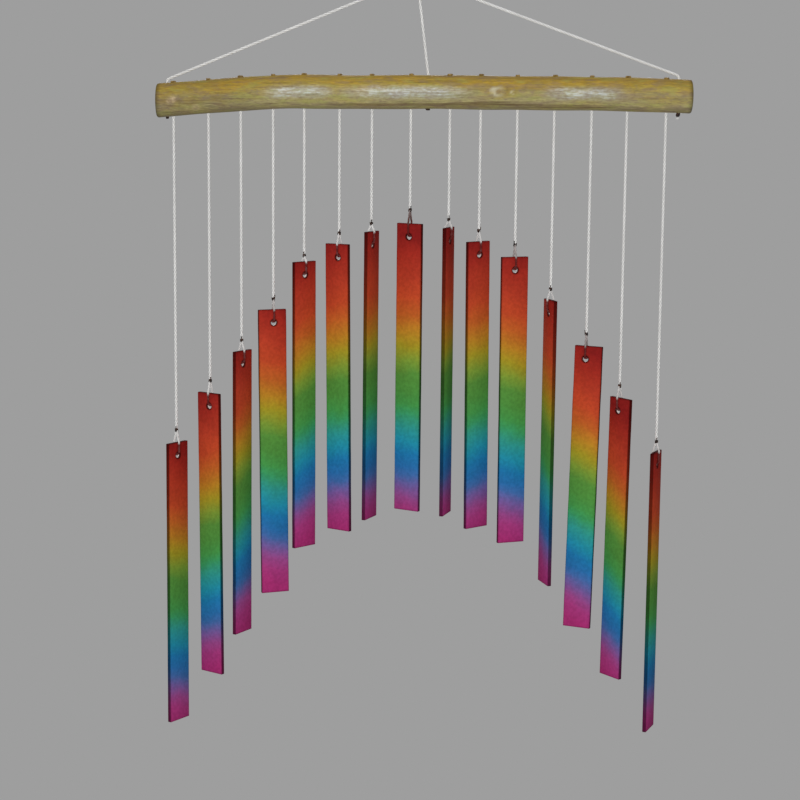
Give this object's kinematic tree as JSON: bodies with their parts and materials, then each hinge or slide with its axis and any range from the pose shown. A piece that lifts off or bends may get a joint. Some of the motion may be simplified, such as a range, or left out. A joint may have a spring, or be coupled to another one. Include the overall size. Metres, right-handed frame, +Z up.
{
  "type": "glass wind chime",
  "caption": "Hanging wind chime: rainbow-painted flat glass strips on knotted cords, hung in an arch from a varnished branch on a steel ring.",
  "frame": {"origin": "centre of the hanging ring", "axes": "+X along the branch, to the right as seen from the front; +Y from the front to the back; +Z up"},
  "size_m": [0.3978, 0.0254, 0.611],
  "materials": {
    "wood": "satin varnish",
    "painted_glass": "satin, painted in a rainbow from red at the top to magenta at the foot",
    "cord": "twisted white cord",
    "singed_cord": "melted, dark",
    "steel": "satin"
  },
  "bodies": {
    "ring": {"hanging_ring": "steel"},
    "loop": {"hanging_loop": "cord"},
    "hanger": {"beam": "wood", "gather_knot": "cord", "suspension_cord_left": "cord", "suspension_cord_centre": "cord", "suspension_cord_right": "cord", "suspension_knots": "singed_cord", "cord_top_knots": "singed_cord"},
    "cord_01": {"chime_cord_01": "cord"},
    "strip_01": {"tied_loop_01": "cord", "glass_strip_01": "painted_glass"},
    "cord_02": {"chime_cord_02": "cord"},
    "strip_02": {"tied_loop_02": "cord", "glass_strip_02": "painted_glass"},
    "cord_03": {"chime_cord_03": "cord"},
    "strip_03": {"tied_loop_03": "cord", "glass_strip_03": "painted_glass"},
    "cord_04": {"chime_cord_04": "cord"},
    "strip_04": {"tied_loop_04": "cord", "glass_strip_04": "painted_glass"},
    "cord_05": {"chime_cord_05": "cord"},
    "strip_05": {"tied_loop_05": "cord", "glass_strip_05": "painted_glass"},
    "cord_06": {"chime_cord_06": "cord"},
    "strip_06": {"tied_loop_06": "cord", "glass_strip_06": "painted_glass"},
    "cord_07": {"chime_cord_07": "cord"},
    "strip_07": {"tied_loop_07": "cord", "glass_strip_07": "painted_glass"},
    "cord_08": {"chime_cord_08": "cord"},
    "strip_08": {"tied_loop_08": "cord", "glass_strip_08": "painted_glass"},
    "cord_09": {"chime_cord_09": "cord"},
    "strip_09": {"tied_loop_09": "cord", "glass_strip_09": "painted_glass"},
    "cord_10": {"chime_cord_10": "cord"},
    "strip_10": {"tied_loop_10": "cord", "glass_strip_10": "painted_glass"},
    "cord_11": {"chime_cord_11": "cord"},
    "strip_11": {"tied_loop_11": "cord", "glass_strip_11": "painted_glass"},
    "cord_12": {"chime_cord_12": "cord"},
    "strip_12": {"tied_loop_12": "cord", "glass_strip_12": "painted_glass"},
    "cord_13": {"chime_cord_13": "cord"},
    "strip_13": {"tied_loop_13": "cord", "glass_strip_13": "painted_glass"},
    "cord_14": {"chime_cord_14": "cord"},
    "strip_14": {"tied_loop_14": "cord", "glass_strip_14": "painted_glass"},
    "cord_15": {"chime_cord_15": "cord"},
    "strip_15": {"tied_loop_15": "cord", "glass_strip_15": "painted_glass"}
  },
  "joints": [
    {"name": "hanger_swing", "type": "hinge", "parent": "ring", "child": "loop", "pos_m": [0, 0, -0.011], "axis": [1, 0, 0], "range_deg": [-30, 30]},
    {"name": "hanger_turn", "type": "hinge", "parent": "loop", "child": "hanger", "pos_m": [0, 0, -0.021], "axis": [0, 0, 1], "range_deg": [-180, 180]},
    {"name": "cord_01_swing", "type": "hinge", "parent": "hanger", "child": "cord_01", "pos_m": [-0.18065, 0, -0.12967], "axis": [1, 0, 0], "range_deg": [-35, 35]},
    {"name": "strip_01_turn", "type": "hinge", "parent": "cord_01", "child": "strip_01", "pos_m": [-0.18065, 0, -0.36457], "axis": [0, 0, 1], "range_deg": [-180, 180]},
    {"name": "cord_02_swing", "type": "hinge", "parent": "hanger", "child": "cord_02", "pos_m": [-0.15461, 0, -0.12725], "axis": [1, 0, 0], "range_deg": [-35, 35]},
    {"name": "strip_02_turn", "type": "hinge", "parent": "cord_02", "child": "strip_02", "pos_m": [-0.15461, 0, -0.32615], "axis": [0, 0, 1], "range_deg": [-180, 180]},
    {"name": "cord_03_swing", "type": "hinge", "parent": "hanger", "child": "cord_03", "pos_m": [-0.13049, 0, -0.12546], "axis": [1, 0, 0], "range_deg": [-35, 35]},
    {"name": "strip_03_turn", "type": "hinge", "parent": "cord_03", "child": "strip_03", "pos_m": [-0.13049, 0, -0.29486], "axis": [0, 0, 1], "range_deg": [-180, 180]},
    {"name": "cord_04_swing", "type": "hinge", "parent": "hanger", "child": "cord_04", "pos_m": [-0.10638, 0, -0.12367], "axis": [1, 0, 0], "range_deg": [-35, 35]},
    {"name": "strip_04_turn", "type": "hinge", "parent": "cord_04", "child": "strip_04", "pos_m": [-0.10638, 0, -0.26307], "axis": [0, 0, 1], "range_deg": [-180, 180]},
    {"name": "cord_05_swing", "type": "hinge", "parent": "hanger", "child": "cord_05", "pos_m": [-0.08313, 0, -0.12314], "axis": [1, 0, 0], "range_deg": [-35, 35]},
    {"name": "strip_05_turn", "type": "hinge", "parent": "cord_05", "child": "strip_05", "pos_m": [-0.08313, 0, -0.23004], "axis": [0, 0, 1], "range_deg": [-180, 180]},
    {"name": "cord_06_swing", "type": "hinge", "parent": "hanger", "child": "cord_06", "pos_m": [-0.05679, 0, -0.12317], "axis": [1, 0, 0], "range_deg": [-35, 35]},
    {"name": "strip_06_turn", "type": "hinge", "parent": "cord_06", "child": "strip_06", "pos_m": [-0.05679, 0, -0.21307], "axis": [0, 0, 1], "range_deg": [-180, 180]},
    {"name": "cord_07_swing", "type": "hinge", "parent": "hanger", "child": "cord_07", "pos_m": [-0.03259, 0, -0.12303], "axis": [1, 0, 0], "range_deg": [-35, 35]},
    {"name": "strip_07_turn", "type": "hinge", "parent": "cord_07", "child": "strip_07", "pos_m": [-0.03259, 0, -0.20543], "axis": [0, 0, 1], "range_deg": [-180, 180]},
    {"name": "cord_08_swing", "type": "hinge", "parent": "hanger", "child": "cord_08", "pos_m": [-0.00363, 0, -0.12275], "axis": [1, 0, 0], "range_deg": [-35, 35]},
    {"name": "strip_08_turn", "type": "hinge", "parent": "cord_08", "child": "strip_08", "pos_m": [-0.00363, 0, -0.19515], "axis": [0, 0, 1], "range_deg": [-180, 180]},
    {"name": "cord_09_swing", "type": "hinge", "parent": "hanger", "child": "cord_09", "pos_m": [0.02547, 0, -0.12245], "axis": [1, 0, 0], "range_deg": [-35, 35]},
    {"name": "strip_09_turn", "type": "hinge", "parent": "cord_09", "child": "strip_09", "pos_m": [0.02547, 0, -0.20185], "axis": [0, 0, 1], "range_deg": [-180, 180]},
    {"name": "cord_10_swing", "type": "hinge", "parent": "hanger", "child": "cord_10", "pos_m": [0.04834, 0, -0.12271], "axis": [1, 0, 0], "range_deg": [-35, 35]},
    {"name": "strip_10_turn", "type": "hinge", "parent": "cord_10", "child": "strip_10", "pos_m": [0.04834, 0, -0.21011], "axis": [0, 0, 1], "range_deg": [-180, 180]},
    {"name": "cord_11_swing", "type": "hinge", "parent": "hanger", "child": "cord_11", "pos_m": [0.0757, 0, -0.12261], "axis": [1, 0, 0], "range_deg": [-35, 35]},
    {"name": "strip_11_turn", "type": "hinge", "parent": "cord_11", "child": "strip_11", "pos_m": [0.0757, 0, -0.22051], "axis": [0, 0, 1], "range_deg": [-180, 180]},
    {"name": "cord_12_swing", "type": "hinge", "parent": "hanger", "child": "cord_12", "pos_m": [0.10318, 0, -0.12283], "axis": [1, 0, 0], "range_deg": [-35, 35]},
    {"name": "strip_12_turn", "type": "hinge", "parent": "cord_12", "child": "strip_12", "pos_m": [0.10318, 0, -0.25373], "axis": [0, 0, 1], "range_deg": [-180, 180]},
    {"name": "cord_13_swing", "type": "hinge", "parent": "hanger", "child": "cord_13", "pos_m": [0.13095, 0, -0.12263], "axis": [1, 0, 0], "range_deg": [-35, 35]},
    {"name": "strip_13_turn", "type": "hinge", "parent": "cord_13", "child": "strip_13", "pos_m": [0.13095, 0, -0.28753], "axis": [0, 0, 1], "range_deg": [-180, 180]},
    {"name": "cord_14_swing", "type": "hinge", "parent": "hanger", "child": "cord_14", "pos_m": [0.15725, 0, -0.12315], "axis": [1, 0, 0], "range_deg": [-35, 35]},
    {"name": "strip_14_turn", "type": "hinge", "parent": "cord_14", "child": "strip_14", "pos_m": [0.15725, 0, -0.32705], "axis": [0, 0, 1], "range_deg": [-180, 180]},
    {"name": "cord_15_swing", "type": "hinge", "parent": "hanger", "child": "cord_15", "pos_m": [0.18626, 0, -0.12365], "axis": [1, 0, 0], "range_deg": [-35, 35]},
    {"name": "strip_15_turn", "type": "hinge", "parent": "cord_15", "child": "strip_15", "pos_m": [0.18626, 0, -0.36955], "axis": [0, 0, 1], "range_deg": [-180, 180]}
  ]
}
